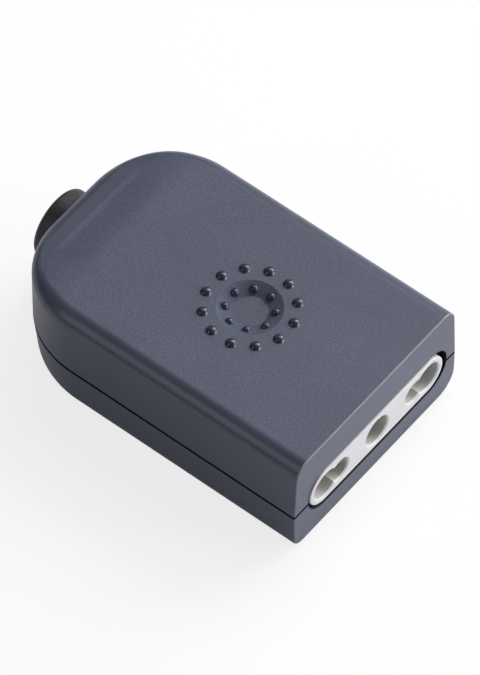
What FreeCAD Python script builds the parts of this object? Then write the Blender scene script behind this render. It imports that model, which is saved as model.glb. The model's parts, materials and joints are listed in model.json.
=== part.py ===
import FreeCAD
import Part
import math
import os

# In-line mains socket for round pins of two gauges. All lengths are in millimetres.
# X runs across the socket face, the face looks along -Y and the cord leaves along +Y, +Z is up.
# The origin lies under the middle of the whole part, on the surface that it rests on.

# Case: two moulded shells that meet at the parting height
parting_height = 8.5
face_side_margin = 2.89
case_length = 61.5
roof_corner_radius = 14.9
seam_corner_radius = 16.3
floor_corner_radius = 17.8
rear_bend_radius = 38.0
rear_bend_reach = 12.7
upper_draft_deg = 3.0
lower_draft_deg = 0.6
top_edge_radius = 2.9
rear_top_edge_radius = 1.6
bottom_edge_radius = 2.2
right_bottom_edge_radius = 4.0
front_edge_radius = 0.25
inner_edge_radius = 0.4
wall = 1.8
front_wall = 2.0
seam_gap = 0.55
lip_height = 1.5
lip_clearance = 0.1

# Pin pattern: small pins at the small pitch or large pins at the large pitch, earth in the middle
small_pin_pitch = 19.0
large_pin_pitch = 26.0
small_pin_diameter = 4.0
large_pin_diameter = 5.0
small_hole_diameter = 4.4
large_hole_diameter = 5.6
earth_hole_diameter = 5.5
socket_axis_height = 9.7

# Dish and dots on the top face
dish_depth_behind_face = 25.2
dish_rim_diameter = 10.7
dish_floor_diameter = 5.8
dish_depth = 1.05
outer_dot_count = 12
outer_dot_ring_diameter = 15.1
outer_dot_diameter = 1.95
inner_dot_count = 8
inner_dot_ring_diameter = 8.05
inner_dot_diameter = 1.5
dot_height = 0.6
dot_root = 0.25
dot_start_deg = -15.0

# Insert: nose in the opening of the case, front plate and the chamber of the shutter
nose_end_wall = 1.1
nose_side_wall = 1.05
nose_proud = 0.3
nose_edge_radius = 0.25
hole_lead_in = 0.25
opening_play_left = 0.22
opening_play_right = 1.4
opening_play_top = 0.22
opening_play_bottom = 1.0
opening_lip = 0.3
opening_flare = 1.2
insert_side_clearance = 0.9
insert_seat_clearance = 0.1
insert_corner_radius = 1.5
insert_plate = 1.5
insert_wall = 1.0
chamber_roof_wall = 0.8
chamber_depth = 6.4

# Shutter and its springs
shutter_below_axis = 1.9
shutter_bridge_gap = 0.1
shutter_bridge = 0.95
shutter_bridge_depth = 3.6
shutter_running_gap = 0.2
shutter_lift_margin = 0.05
shutter_roof_gap = 0.15
shutter_foot = 1.7
shutter_brow = 1.0
shutter_inner_reach = 0.3
ledge_width = 1.1
ledge_gap = 0.05
spring_pocket_diameter = 3.2
spring_pocket_depth = 2.6
spring_back_wall = 0.6
spring_pocket_clearance = 0.25
spring_wire = 0.3
spring_turns = 6.0
spring_seat_gap = 0.05

# Contact carrier
carrier_flange = 1.4
carrier_length = 12.6
carrier_wall = 1.1
chamber_half_height = 3.9
chamber_side_gap = 0.8
shelf_length = 8.5
shelf_thickness = 1.5
barrier_thickness = 1.4

# Contacts: strips folded to a U with sprung leaves
strip_thickness = 0.6
strip_bend_radius = 0.9
contact_grip = 0.25
contact_mouth = 1.3
contact_mouth_length = 1.6
contact_height_gap = 0.4
contact_front_gap = 0.5
contact_back_gap = 0.8
earth_strip_width = 5.2
tail_width = 4.0
tail_drop = 1.6
tail_end_gap = 0.4

# Box terminals and their screws
terminal_length = 6.0
terminal_side_wall = 0.95
terminal_window_gap = 0.25
terminal_gap = 1.0
terminal_floor = 1.2
terminal_window = 4.2
terminal_top = 2.2
screw_diameter = 3.0
screw_hole_clearance = 0.05
screw_head_diameter = 5.4
screw_head_height = 1.7
screw_head_rim = 0.55
screw_slot_width = 0.8
screw_slot_depth = 0.8
terminal_screw_length = 6.2
terminal_screw_open = 1.2

# Screws that hold the shells together
housing_screw_length = 13.0
boss_wall = 1.2
boss_side_gap = 0.6
boss_stop_gap = 0.3
boss_gap = 0.1
upper_boss_wall = 1.65
head_recess_depth = 3.2
head_recess_clearance = 0.3
thread_run_out = 1.0

# Cord clamp, and cord bushing at the rear
cord_axis_height = 10.0
cord_hole_diameter = 8.2
clamp_length = 5.0
clamp_corner_radius = 1.6
clamp_post_wall = 1.25
clamp_post_gap = 0.6
clamp_bar_overhang = 0.2
clamp_bar_height = 5.5
clamp_seat_above_axis = 0.5
clamp_screw_length = 9.5
saddle_clearance = 0.2
saddle_thickness = 3.0
clamp_bushing_gap = 5.0
bushing_flange = 2.0
bushing_flange_diameter = 12.4
bushing_neck_diameter = 10.4
bushing_wall_clearance = 0.1
bushing_lead_in = 0.5
collar_diameter = 12.7
collar_reach = 3.4
collar_rim_radius = 1.0

# Ribs inside the shells
rib_thickness = 1.2
rib_inset = 3.0
rib_end_inset = 3.8
rib_clearance = 0.1
stop_thickness = 1.4
stop_length = 5.0

# How far a cutting shape reaches past the face that it opens, and how near two points count as one
overrun = 3.0
same_place = 1e-6

X = FreeCAD.Vector(1, 0, 0)
Y = FreeCAD.Vector(0, 1, 0)
Z = FreeCAD.Vector(0, 0, 1)

# Across the face: the nose takes in the pin pattern, and the case takes in the nose
axis = socket_axis_height
large_hole_x = large_pin_pitch / 2
small_hole_x = small_pin_pitch / 2
nose_length = large_pin_pitch + large_hole_diameter + 2 * nose_end_wall
nose_height = large_hole_diameter + 2 * nose_side_wall
opening_length = nose_length + opening_play_left + opening_play_right
opening_height = nose_height + opening_play_top + opening_play_bottom
opening_x = (opening_play_right - opening_play_left) / 2
opening_z = axis + (opening_play_top - opening_play_bottom) / 2
case_width = opening_length + 2 * face_side_margin
insert_width = case_width - 2 * wall - 2 * insert_side_clearance
chamber_half_width = insert_width / 2 - insert_wall
line_outer = large_hole_x + large_hole_diameter / 2
line_inner = small_hole_x - small_hole_diameter / 2
line_center = (line_outer + line_inner) / 2
line_strip_width = line_outer - line_inner
line_chamber_width = line_strip_width + 2 * chamber_side_gap
earth_chamber_width = earth_strip_width + 2 * chamber_side_gap
carrier_half_width = line_center + line_chamber_width / 2 + carrier_wall
shutter_outer = chamber_half_width - shutter_running_gap
shutter_inner = line_inner - shutter_inner_reach
spring_mean_diameter = spring_pocket_diameter - spring_wire - 2 * spring_pocket_clearance
window_width = tail_width + 2 * terminal_window_gap
terminal_width = window_width + 2 * terminal_side_wall
screw_hole_diameter = screw_diameter + 2 * screw_hole_clearance
head_recess_diameter = screw_head_diameter + 2 * head_recess_clearance
housing_boss_diameter = head_recess_diameter + 2 * boss_wall
upper_boss_diameter = screw_hole_diameter + 2 * upper_boss_wall
housing_screw_x = case_width / 2 - wall - boss_side_gap - housing_boss_diameter / 2
clamp_post_diameter = screw_hole_diameter + 2 * clamp_post_wall
clamp_screw_x = cord_hole_diameter / 2 + clamp_post_gap + clamp_post_diameter / 2
rib_half_length = carrier_half_width - rib_end_inset

# Heights: the shutter's lift sets the roof of its chamber, and that sets the height of the case
upper_draft = math.tan(math.radians(upper_draft_deg))
lower_draft = math.tan(math.radians(lower_draft_deg))
shutter_top = axis + earth_hole_diameter / 2 + shutter_bridge_gap + shutter_bridge
shutter_bottom = axis - shutter_below_axis
shutter_travel = shutter_below_axis + large_pin_diameter / 2 + shutter_lift_margin
chamber_roof = shutter_top + shutter_travel + shutter_roof_gap
insert_top = chamber_roof + chamber_roof_wall
insert_bottom = wall
roof_height = insert_top + insert_seat_clearance
floor_height = wall
case_height = roof_height + wall
carrier_half_height = chamber_half_height + carrier_wall
contact_back_half = chamber_half_height - contact_height_gap - strip_thickness / 2
tail_bottom = axis - tail_drop - strip_thickness / 2
terminal_bottom = tail_bottom - terminal_floor
terminal_roof = tail_bottom + terminal_window
terminal_head = terminal_roof + terminal_top
clamp_seat = cord_axis_height + clamp_seat_above_axis

# Depths behind the socket face, from the front wall to the rear end of the collar
insert_front = front_wall + insert_seat_clearance
chamber_front = insert_front + insert_plate
chamber_back = chamber_front + chamber_depth
shutter_front = chamber_front + shutter_running_gap
shutter_back = chamber_back - shutter_running_gap
spring_depth = shutter_back - spring_back_wall - spring_pocket_diameter / 2
block_front = chamber_back + carrier_flange
block_back = block_front + carrier_length
rib_depths = (block_front + rib_inset, block_back - rib_inset - rib_thickness)
contact_back = block_back - contact_back_gap - strip_thickness / 2
terminal_front = block_back + terminal_gap
terminal_middle = terminal_front + terminal_length / 2
shelf_back = block_back + shelf_length
stop_front = shelf_back + rib_clearance
housing_screw_depth = stop_front + stop_thickness + boss_stop_gap + housing_boss_diameter / 2
bend_front = case_length - rear_bend_reach
rear_wall_lean = (cord_axis_height + bushing_flange_diameter / 2 - parting_height) * upper_draft
groove_front = case_length - wall - rear_wall_lean - bushing_wall_clearance
bushing_inner_end = groove_front - bushing_flange
clamp_front = bushing_inner_end - clamp_bushing_gap - clamp_length
clamp_depth = clamp_front + clamp_length / 2
groove_back = case_length + bushing_wall_clearance
collar_end = case_length + collar_reach
face_y = (nose_proud - collar_end) / 2


def place(x, depth, z):
    """A point given by its place across, its depth behind the socket face and its height."""
    return FreeCAD.Vector(x, face_y + depth, z)


def block(x_low, x_high, depth_low, depth_high, z_low, z_high):
    """A plain block between two corners."""
    return Part.makeBox(x_high - x_low, depth_high - depth_low, z_high - z_low,
                        place(x_low, depth_low, z_low))


def upright(diameter, x, depth, z_low, z_high):
    """A round post along Z."""
    return Part.makeCylinder(diameter / 2, z_high - z_low, place(x, depth, z_low), Z)


def along(diameter, x, z, depth_low, depth_high):
    """A round bar along the axis of the socket."""
    return Part.makeCylinder(diameter / 2, depth_high - depth_low, place(x, depth_low, z), Y)


def face_of(edges):
    """A flat face inside a closed run of edges."""
    return Part.Face(Part.Wire(Part.__sortEdges__(edges)))


def line(start, end):
    """A straight edge."""
    return Part.LineSegment(start, end).toShape()


def arc(start, middle, end):
    """A round edge through three points."""
    return Part.Arc(start, middle, end).toShape()


def case_wire(inset, front, height, corner):
    """Plan outline of the case, moved in by a distance, from a front depth to the rounded rear."""
    half = case_width / 2 - inset
    rear = case_length - inset
    turn_x = case_width / 2 - corner
    turn_depth = case_length - corner
    slant = (corner - inset) * math.sqrt(0.5)
    corners = [place(-half, front, height), place(half, front, height),
               place(half, turn_depth, height), place(turn_x, rear, height),
               place(-turn_x, rear, height), place(-half, turn_depth, height)]
    right_middle = place(turn_x + slant, turn_depth + slant, height)
    left_middle = place(-turn_x - slant, turn_depth + slant, height)
    edges = [line(corners[0], corners[1]), line(corners[1], corners[2]),
             arc(corners[2], right_middle, corners[3]), line(corners[3], corners[4]),
             arc(corners[4], left_middle, corners[5]), line(corners[5], corners[0])]
    return Part.Wire(edges)


def edge_numbers(solid, wanted):
    """Numbers of the edges of a solid that a test picks out."""
    return [number for number, edge in enumerate(solid.Edges, 1) if wanted(edge)]


def turn(vertex):
    """How far round the middle a vertex lies, from the right-hand side past the rear to the left."""
    return math.atan2(-vertex.X, vertex.Y)


def varied_fillet(solid, numbers, radius_at):
    """Fillet along a run of numbered edges, with the radius that each vertex of the run asks for."""
    document = FreeCAD.newDocument()
    base = document.addObject("Part::Feature", "base")
    base.Shape = solid
    rounded = document.addObject("Part::Fillet", "rounded")
    rounded.Base = base
    radii = []
    for number in numbers:
        first, last = sorted(solid.Edges[number - 1].Vertexes, key=turn)
        radii.append((number, radius_at(first), radius_at(last)))
    rounded.Edges = radii
    document.recompute()
    shape = rounded.Shape.copy()
    FreeCAD.closeDocument(document.Name)
    return shape


def above_bend(radius):
    """Space above the rear of the top, which bends down along a round of one radius."""
    sweep = math.asin(rear_bend_reach / radius)

    def on_round(angle):
        return place(-case_width, bend_front + radius * math.sin(angle),
                     case_height - rear_bend_radius + radius * math.cos(angle))

    above = place(-case_width, bend_front, case_height + overrun)
    corner = place(-case_width, case_length, case_height + overrun)
    edges = [arc(on_round(0), on_round(sweep / 2), on_round(sweep)), line(on_round(sweep), corner),
             line(corner, above), line(above, on_round(0))]
    return face_of(edges).extrude(X * (2 * case_width))


def case_block(inset, front, start, end, radii):
    """Drafted block of the case's plan from the seam to a far height, with the far edge rounded.

    The radii are those of the left side, the right side and the rear; the corners lead from one to the next.
    """
    left, right, rear = (max(radius - inset, inner_edge_radius) for radius in radii)
    rise = end > start
    draft = upper_draft if rise else lower_draft
    far_corner = roof_corner_radius if rise else floor_corner_radius
    far_inset = inset + abs(end - parting_height) * draft
    near_inset = inset + abs(start - parting_height) * draft
    wires = [case_wire(near_inset, front, start, seam_corner_radius),
             case_wire(far_inset, front, end, far_corner)]
    solid = Part.makeLoft(wires, True, True)
    if rise:
        solid = solid.cut(above_bend(rear_bend_radius - inset))
    rear_y = face_y + case_length - far_inset
    cross_lines = (face_y + front, face_y + bend_front)

    def at_far_edge(edge):
        far = all(abs(vertex.Z - end) < abs(vertex.Z - start) for vertex in edge.Vertexes)
        across = any(all(abs(vertex.Y - y) < same_place for vertex in edge.Vertexes) for y in cross_lines)
        return far and not across

    def radius_at(vertex):
        share = min(1, max(0, (rear_y - vertex.Y) / (far_corner - far_inset)))
        return rear + ((right if vertex.X > 0 else left) - rear) * share

    return varied_fillet(solid, edge_numbers(solid, at_far_edge), radius_at)


def front_rounded(solid, start):
    """The same block with the edges of its front face rounded, apart from the one at the seam."""
    rim = [edge for edge in solid.Edges
           if all(abs(vertex.Y - face_y) < same_place for vertex in edge.Vertexes)
           and any(abs(vertex.Z - start) > same_place for vertex in edge.Vertexes)]
    return solid.makeFillet(front_edge_radius, rim)


def case_ring(inset_outer, inset_inner, start, end):
    """Upright ring that follows the sides and the rear of the case, open at the front."""
    height = FreeCAD.Vector(0, 0, end - start)
    outer = Part.Face(case_wire(inset_outer, front_wall, start, seam_corner_radius)).extrude(height)
    inner = Part.Face(case_wire(inset_inner, -front_wall, start, seam_corner_radius)).extrude(height)
    return outer.cut(inner)


def stadium_wire(length, height, x, z, depth):
    """Upright outline of two straight sides and two half rounds."""
    radius = height / 2
    run = length / 2 - radius
    upper = [place(x - run, depth, z + radius), place(x + run, depth, z + radius)]
    lower = [place(x + run, depth, z - radius), place(x - run, depth, z - radius)]
    edges = [line(upper[0], upper[1]), arc(upper[1], place(x + run + radius, depth, z), lower[0]),
             line(lower[0], lower[1]), arc(lower[1], place(x - run - radius, depth, z), upper[0])]
    return Part.Wire(edges)


def stadium(length, height, x, z, depth_low, depth_high):
    """Bar of that outline along the socket axis."""
    return Part.Face(stadium_wire(length, height, x, z, depth_low)).extrude(Y * (depth_high - depth_low))


def rounded_bar(x_half, z_low, z_high, radius, depth_low, depth_high):
    """Block with its four edges along the socket axis rounded."""
    bar = block(-x_half, x_half, depth_low, depth_high, z_low, z_high)
    edges = [edge for edge in bar.Edges if abs(edge.tangentAt(edge.FirstParameter).y) > 0.99]
    return bar.makeFillet(radius, edges)


def mirrored(shape):
    """The same shape on the other side of the middle plane."""
    return shape.mirror(FreeCAD.Vector(0, 0, 0), X)


def pin_holes(depth_low, depth_high):
    """The two keyholes for the line pins and the round hole for the earth pin."""
    holes = [along(earth_hole_diameter, 0, axis, depth_low, depth_high)]
    for side in (-1, 1):
        large = along(large_hole_diameter, side * large_hole_x, axis, depth_low, depth_high)
        small = along(small_hole_diameter, side * small_hole_x, axis, depth_low, depth_high)
        holes.append(large.fuse(small))
    return holes


def hole_mouths():
    """Sloping lead-ins of the pin holes at the face of the nose."""
    mouths = []
    places = [(0, earth_hole_diameter)]
    for side in (-1, 1):
        places.append((side * large_hole_x, large_hole_diameter))
        places.append((side * small_hole_x, small_hole_diameter))
    for x, diameter in places:
        mouths.append(Part.makeCone(diameter / 2 + 2 * hole_lead_in, diameter / 2, 2 * hole_lead_in,
                                    place(x, -nose_proud - hole_lead_in, axis), Y))
    return mouths


def opening():
    """Opening round the nose, with more play on the right and below, that widens behind a thin lip."""
    mouth = stadium(opening_length, opening_height, opening_x, opening_z, -overrun, front_wall)
    wires = []
    for spread, depth in ((0, opening_lip), (2 * opening_flare, front_wall)):
        wires.append(stadium_wire(opening_length + spread, opening_height + spread,
                                  opening_x, opening_z, depth))
    return mouth.fuse(Part.makeLoft(wires, True, True))


def bushing_window():
    """Round hole in the rear wall for the neck of the bushing."""
    diameter = bushing_neck_diameter + 2 * bushing_wall_clearance
    return along(diameter, 0, cord_axis_height, groove_front - overrun / 2, case_length + overrun)


def dot(center, normal, diameter):
    """Raised dot: a cap of a ball, with its root sunk in the surface."""
    radius = (diameter ** 2 / 4 + dot_height ** 2) / (2 * dot_height)
    low = math.degrees(math.asin((radius - dot_height - dot_root) / radius))
    ball = center + normal * (dot_height - radius)
    return Part.makeSphere(radius, ball, normal, low, 90, 360)


def dot_ring(count, ring_diameter, diameter, height, lean):
    """Ring of dots round the dish, each one leaning inwards by an angle."""
    dots = []
    for index in range(count):
        angle = math.radians(dot_start_deg + index * 360 / count)
        out = FreeCAD.Vector(math.cos(angle), math.sin(angle), 0)
        center = place(0, dish_depth_behind_face, height) + out * (ring_diameter / 2)
        normal = Z * math.cos(lean) - out * math.sin(lean)
        dots.append(dot(center, normal, diameter))
    return dots


def dish():
    """Shallow dish with a sloping wall and a flat floor."""
    return Part.makeCone(dish_floor_diameter / 2, dish_rim_diameter / 2, dish_depth,
                         place(0, dish_depth_behind_face, case_height - dish_depth), Z)


def upper_shell():
    """Upper half of the case with its screw bosses, hold-down ribs, dish and dots."""
    start = parting_height + seam_gap / 2
    radii = (top_edge_radius, top_edge_radius, rear_top_edge_radius)
    outer = front_rounded(case_block(0, 0, start, case_height, radii), start)
    inner = case_block(wall, front_wall, start, roof_height, radii)
    shell = outer.cut(inner)
    pieces = []
    for side in (-1, 1):
        pieces.append(upright(upper_boss_diameter, side * housing_screw_x, housing_screw_depth,
                              start + boss_gap, roof_height + wall / 2))
    for depth in rib_depths:
        pieces.append(block(-rib_half_length, rib_half_length, depth, depth + rib_thickness,
                            axis + carrier_half_height + rib_clearance, roof_height + wall / 2))
    shell = shell.fuse(pieces)
    cuts = [opening(), bushing_window(), dish()]
    cuts.append(case_ring(wall / 2, wall + lip_clearance, start, start + lip_height))
    screw_top = head_recess_depth + housing_screw_length + thread_run_out
    for side in (-1, 1):
        cuts.append(upright(screw_hole_diameter, side * housing_screw_x, housing_screw_depth,
                            parting_height, screw_top))
    shell = shell.cut(cuts)
    lean = math.atan2(dish_depth, (dish_rim_diameter - dish_floor_diameter) / 2)
    sink = (dish_rim_diameter - inner_dot_ring_diameter) / 2 * math.tan(lean)
    dots = dot_ring(outer_dot_count, outer_dot_ring_diameter, outer_dot_diameter, case_height, 0)
    dots += dot_ring(inner_dot_count, inner_dot_ring_diameter, inner_dot_diameter,
                     case_height - sink, lean)
    return shell.fuse(dots)


def lower_shell():
    """Lower half of the case with its lip, screw bosses, carrier ribs, cord saddle and clamp posts."""
    start = parting_height - seam_gap / 2
    radii = (bottom_edge_radius, right_bottom_edge_radius, bottom_edge_radius)
    outer = front_rounded(case_block(0, 0, start, 0, radii), start)
    inner = case_block(wall, front_wall, start, floor_height, radii)
    shell = outer.cut(inner)
    lip_top = start + lip_height
    pieces = [case_ring(wall / 2 + lip_clearance, wall, start - wall, lip_top)]
    for side in (-1, 1):
        pieces.append(upright(housing_boss_diameter, side * housing_screw_x, housing_screw_depth,
                              floor_height / 2, parting_height + seam_gap / 2))
        pieces.append(upright(clamp_post_diameter, side * clamp_screw_x, clamp_depth,
                              floor_height / 2, clamp_seat))
        stop_low = side * (chamber_half_width - stop_length)
        stop_high = side * (case_width / 2 - wall)
        pieces.append(block(min(stop_low, stop_high), max(stop_low, stop_high),
                            stop_front, stop_front + stop_thickness, floor_height / 2, terminal_bottom))
    for depth in rib_depths:
        pieces.append(block(-rib_half_length, rib_half_length, depth, depth + rib_thickness,
                            floor_height / 2, axis - carrier_half_height))
    saddle_low = clamp_depth - saddle_thickness / 2
    pieces.append(block(-clamp_screw_x, clamp_screw_x, saddle_low, saddle_low + saddle_thickness,
                        floor_height / 2, cord_axis_height - saddle_clearance))
    shell = shell.fuse(pieces)
    cuts = [opening(), bushing_window()]
    cuts.append(along(cord_hole_diameter, 0, cord_axis_height,
                      saddle_low - overrun, saddle_low + saddle_thickness + overrun))
    for side in (-1, 1):
        cuts.append(upright(head_recess_diameter, side * housing_screw_x, housing_screw_depth,
                            -overrun, head_recess_depth))
        cuts.append(upright(screw_hole_diameter, side * housing_screw_x, housing_screw_depth,
                            -overrun, case_height))
        cuts.append(upright(screw_hole_diameter, side * clamp_screw_x, clamp_depth,
                            floor_height, case_height))
    return shell.cut(cuts)


def socket_insert():
    """White front piece: nose with the pin holes, front plate and the walls of the shutter chamber."""
    nose = stadium(nose_length, nose_height, 0, axis, -nose_proud, chamber_front)
    rim = [edge for edge in nose.Edges
           if all(abs(vertex.Y - face_y + nose_proud) < same_place for vertex in edge.Vertexes)]
    nose = nose.makeFillet(nose_edge_radius, rim)
    body = rounded_bar(insert_width / 2, insert_bottom, insert_top, insert_corner_radius,
                       insert_front, chamber_back)
    chamber = block(-chamber_half_width, chamber_half_width, chamber_front, chamber_back + insert_wall,
                    insert_bottom + insert_wall, chamber_roof)
    solid = body.cut(chamber).fuse(nose)
    ledge_top = shutter_bottom - ledge_gap
    ledges = [block(side_low, side_low + ledge_width, chamber_front, chamber_back,
                    insert_bottom + insert_wall, ledge_top)
              for side_low in (-chamber_half_width, chamber_half_width - ledge_width)]
    holes = pin_holes(-overrun, chamber_front + overrun)
    return solid.fuse(ledges).cut(holes + hole_mouths())


def safety_shutter():
    """Slider with two wedges behind the keyholes, joined by a bridge over the earth pin."""
    outline = [place(shutter_inner, shutter_front, shutter_top),
               place(shutter_inner, shutter_front, shutter_top - shutter_brow),
               place(shutter_inner, shutter_back - shutter_foot, shutter_bottom),
               place(shutter_inner, shutter_back, shutter_bottom),
               place(shutter_inner, shutter_back, shutter_top)]
    section = Part.Face(Part.makePolygon(outline + outline[:1]))
    wedge = section.extrude(X * (shutter_outer - shutter_inner))
    bridge = block(-shutter_outer, shutter_outer, shutter_back - shutter_bridge_depth, shutter_back,
                   shutter_top - shutter_bridge, shutter_top)
    solid = wedge.fuse([mirrored(wedge), bridge]).removeSplitter()
    pockets = [upright(spring_pocket_diameter, side * line_center, spring_depth,
                       shutter_top - spring_pocket_depth, shutter_top + overrun)
               for side in (-1, 1)]
    return solid.cut(pockets)


def shutter_springs():
    """Two coil springs between the pockets of the shutter and the roof of its chamber."""
    low = shutter_top - spring_pocket_depth + spring_seat_gap + spring_wire / 2
    high = chamber_roof - spring_seat_gap - spring_wire / 2
    coils = []
    for side in (-1, 1):
        path = Part.makeHelix((high - low) / spring_turns, high - low, spring_mean_diameter / 2)
        start = FreeCAD.Vector(spring_mean_diameter / 2, 0, 0)
        section = Part.Wire(Part.makeCircle(spring_wire / 2, start, Y))
        coil = Part.Wire(path.Edges).makePipeShell([section], True, True)
        coil.translate(place(side * line_center, spring_depth, low))
        coils.append(coil)
    return Part.makeCompound(coils)


def contact_carrier():
    """White rear piece: flange that closes the shutter chamber, contact chambers, terminal shelf."""
    flange = rounded_bar(insert_width / 2, insert_bottom, insert_top, insert_corner_radius,
                         chamber_back, block_front)
    half = carrier_half_width
    main = block(-half, half, block_front, block_back,
                 axis - carrier_half_height, axis + carrier_half_height)
    chambers = [block(x - width / 2, x + width / 2, block_front, block_back + overrun,
                      axis - chamber_half_height, axis + chamber_half_height)
                for x, width in ((-line_center, line_chamber_width), (0, earth_chamber_width),
                                 (line_center, line_chamber_width))]
    shelf = block(-half, half, block_back, shelf_back, terminal_bottom - shelf_thickness, terminal_bottom)
    barriers = [block(x - barrier_thickness / 2, x + barrier_thickness / 2, block_back, shelf_back,
                      terminal_bottom - shelf_thickness, terminal_head)
                for x in (-line_center / 2, line_center / 2)]
    solid = flange.cut(pin_holes(chamber_back - overrun, block_front + overrun))
    return solid.fuse([main.cut(chambers), shelf] + barriers).removeSplitter()


def bent_strip(points, width, x):
    """Sheet strip of one width that follows points of (depth, height) with round bends."""
    half = strip_thickness / 2
    turns = []
    for before, corner, after in zip(points, points[1:], points[2:]):
        into = (corner - before).normalize()
        out = (after - corner).normalize()
        angle = math.acos(max(-1.0, min(1.0, into.dot(out))))
        reach = strip_bend_radius * math.tan(angle / 2)
        side = 1 if into.cross(out).z > 0 else -1
        left_in = FreeCAD.Vector(-into.y, into.x, 0)
        left_out = FreeCAD.Vector(-out.y, out.x, 0)
        center = corner - into * reach + left_in * side * strip_bend_radius
        outward = (corner - center).normalize()
        turns.append((corner - into * reach, corner + out * reach, left_in, left_out,
                      center, outward, side))

    def put(point):
        return place(x - width / 2, point.x, point.y)

    edges = []
    ends = []
    for offset in (half, -half):
        first = (points[1] - points[0]).normalize()
        last = (points[-1] - points[-2]).normalize()
        spot = points[0] + FreeCAD.Vector(-first.y, first.x, 0) * offset
        begin = spot
        for bend_in, bend_out, left_in, left_out, center, outward, side in turns:
            arc_start = bend_in + left_in * offset
            arc_middle = center + outward * (strip_bend_radius - side * offset)
            arc_end = bend_out + left_out * offset
            edges.append(line(put(spot), put(arc_start)))
            edges.append(arc(put(arc_start), put(arc_middle), put(arc_end)))
            spot = arc_end
        finish = points[-1] + FreeCAD.Vector(-last.y, last.x, 0) * offset
        edges.append(line(put(spot), put(finish)))
        ends.append((begin, finish))
    edges.append(line(put(ends[0][0]), put(ends[1][0])))
    edges.append(line(put(ends[0][1]), put(ends[1][1])))
    return face_of(edges).extrude(X * width)


def contact(x, width):
    """Folded contact: two sprung leaves that grip the pin, a back and a tail to the terminal."""
    throat = small_pin_diameter / 2 - contact_grip + strip_thickness / 2
    mouth_depth = block_front + contact_front_gap
    throat_depth = mouth_depth + contact_mouth_length
    upper = [FreeCAD.Vector(mouth_depth, axis + throat + contact_mouth, 0),
             FreeCAD.Vector(throat_depth, axis + throat, 0),
             FreeCAD.Vector(contact_back, axis + contact_back_half, 0)]
    lower = [FreeCAD.Vector(point.x, 2 * axis - point.y, 0) for point in reversed(upper)]
    strip = bent_strip(upper + lower, width, x)
    tail = block(x - tail_width / 2, x + tail_width / 2, contact_back,
                 terminal_front + terminal_length - tail_end_gap, tail_bottom, tail_bottom + strip_thickness)
    return strip.fuse(tail).removeSplitter()


def terminal(x):
    """Box terminal: a window for the tail and the wire, and a threaded hole in its thick top."""
    body = block(x - terminal_width / 2, x + terminal_width / 2, terminal_front,
                 terminal_front + terminal_length, terminal_bottom, terminal_head)
    window = block(x - window_width / 2, x + window_width / 2, terminal_front - overrun,
                   terminal_front + terminal_length + overrun, tail_bottom, terminal_roof)
    hole = upright(screw_hole_diameter, x, terminal_middle, tail_bottom, terminal_head + overrun)
    return body.cut([window, hole])


def screw(x, depth, seat, length, up):
    """Slotted screw with a round head; its head sits on the seat, above it or below it."""
    shank_low = seat - length if up else seat
    head_low = seat if up else seat - screw_head_height
    head_high = head_low + screw_head_height
    shank = upright(screw_diameter, x, depth, shank_low, shank_low + length)
    head = upright(screw_head_diameter, x, depth, head_low, head_high)
    slot_low = head_high - screw_slot_depth if up else head_low
    slot = block(x - screw_head_diameter, x + screw_head_diameter, depth - screw_slot_width / 2,
                 depth + screw_slot_width / 2, slot_low, slot_low + screw_slot_depth)
    rim_height = head_high if up else head_low
    rim = [edge for edge in head.Edges
           if edge.Closed and abs(edge.Vertexes[0].Z - rim_height) < same_place]
    return head.makeFillet(screw_head_rim, rim).fuse(shank).cut(slot)


def cord_bushing():
    """Bushing with a groove for the rear wall, a round collar outside and a hole for the cord."""
    bore = cord_hole_diameter / 2
    flange = bushing_flange_diameter / 2
    neck = bushing_neck_diameter / 2
    collar = collar_diameter / 2
    lead = bushing_lead_in
    rim = collar_rim_radius
    rim_slant = rim * math.sqrt(0.5)

    def ring(radius, depth):
        return place(0, depth, cord_axis_height + radius)

    corners = [ring(bore + lead, bushing_inner_end), ring(flange, bushing_inner_end),
               ring(flange, groove_front), ring(neck, groove_front), ring(neck, groove_back),
               ring(collar, groove_back), ring(collar, collar_end - rim)]
    rounded = [ring(collar - rim + rim_slant, collar_end - rim + rim_slant), ring(collar - rim, collar_end)]
    inside = [ring(bore + lead, collar_end), ring(bore, collar_end - lead),
              ring(bore, bushing_inner_end + lead), corners[0]]
    edges = [line(a, b) for a, b in zip(corners, corners[1:])]
    edges.append(arc(corners[-1], rounded[0], rounded[1]))
    edges += [line(a, b) for a, b in zip([rounded[1]] + inside, inside)]
    return face_of(edges).revolve(place(0, 0, cord_axis_height), Y, 360)


def cord_clamp():
    """Bar over the cord with a round notch in its underside and a hole at each end."""
    half = clamp_screw_x + clamp_post_diameter / 2 + clamp_bar_overhang
    bar = block(-half, half, clamp_front, clamp_front + clamp_length, clamp_seat,
                clamp_seat + clamp_bar_height)
    upright_edges = [edge for edge in bar.Edges if abs(edge.tangentAt(edge.FirstParameter).z) > 0.99]
    bar = bar.makeFillet(clamp_corner_radius, upright_edges)
    cuts = [along(cord_hole_diameter, 0, cord_axis_height,
                  clamp_front - overrun, clamp_front + clamp_length + overrun)]
    for side in (-1, 1):
        cuts.append(upright(screw_hole_diameter, side * clamp_screw_x, clamp_depth,
                            clamp_seat - overrun, clamp_seat + clamp_bar_height + overrun))
    return bar.cut(cuts)


def screw_group(places, seat, length, up):
    """Separate screws of one kind."""
    return Part.makeCompound([screw(x, depth, seat, length, up) for x, depth in places])


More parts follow.
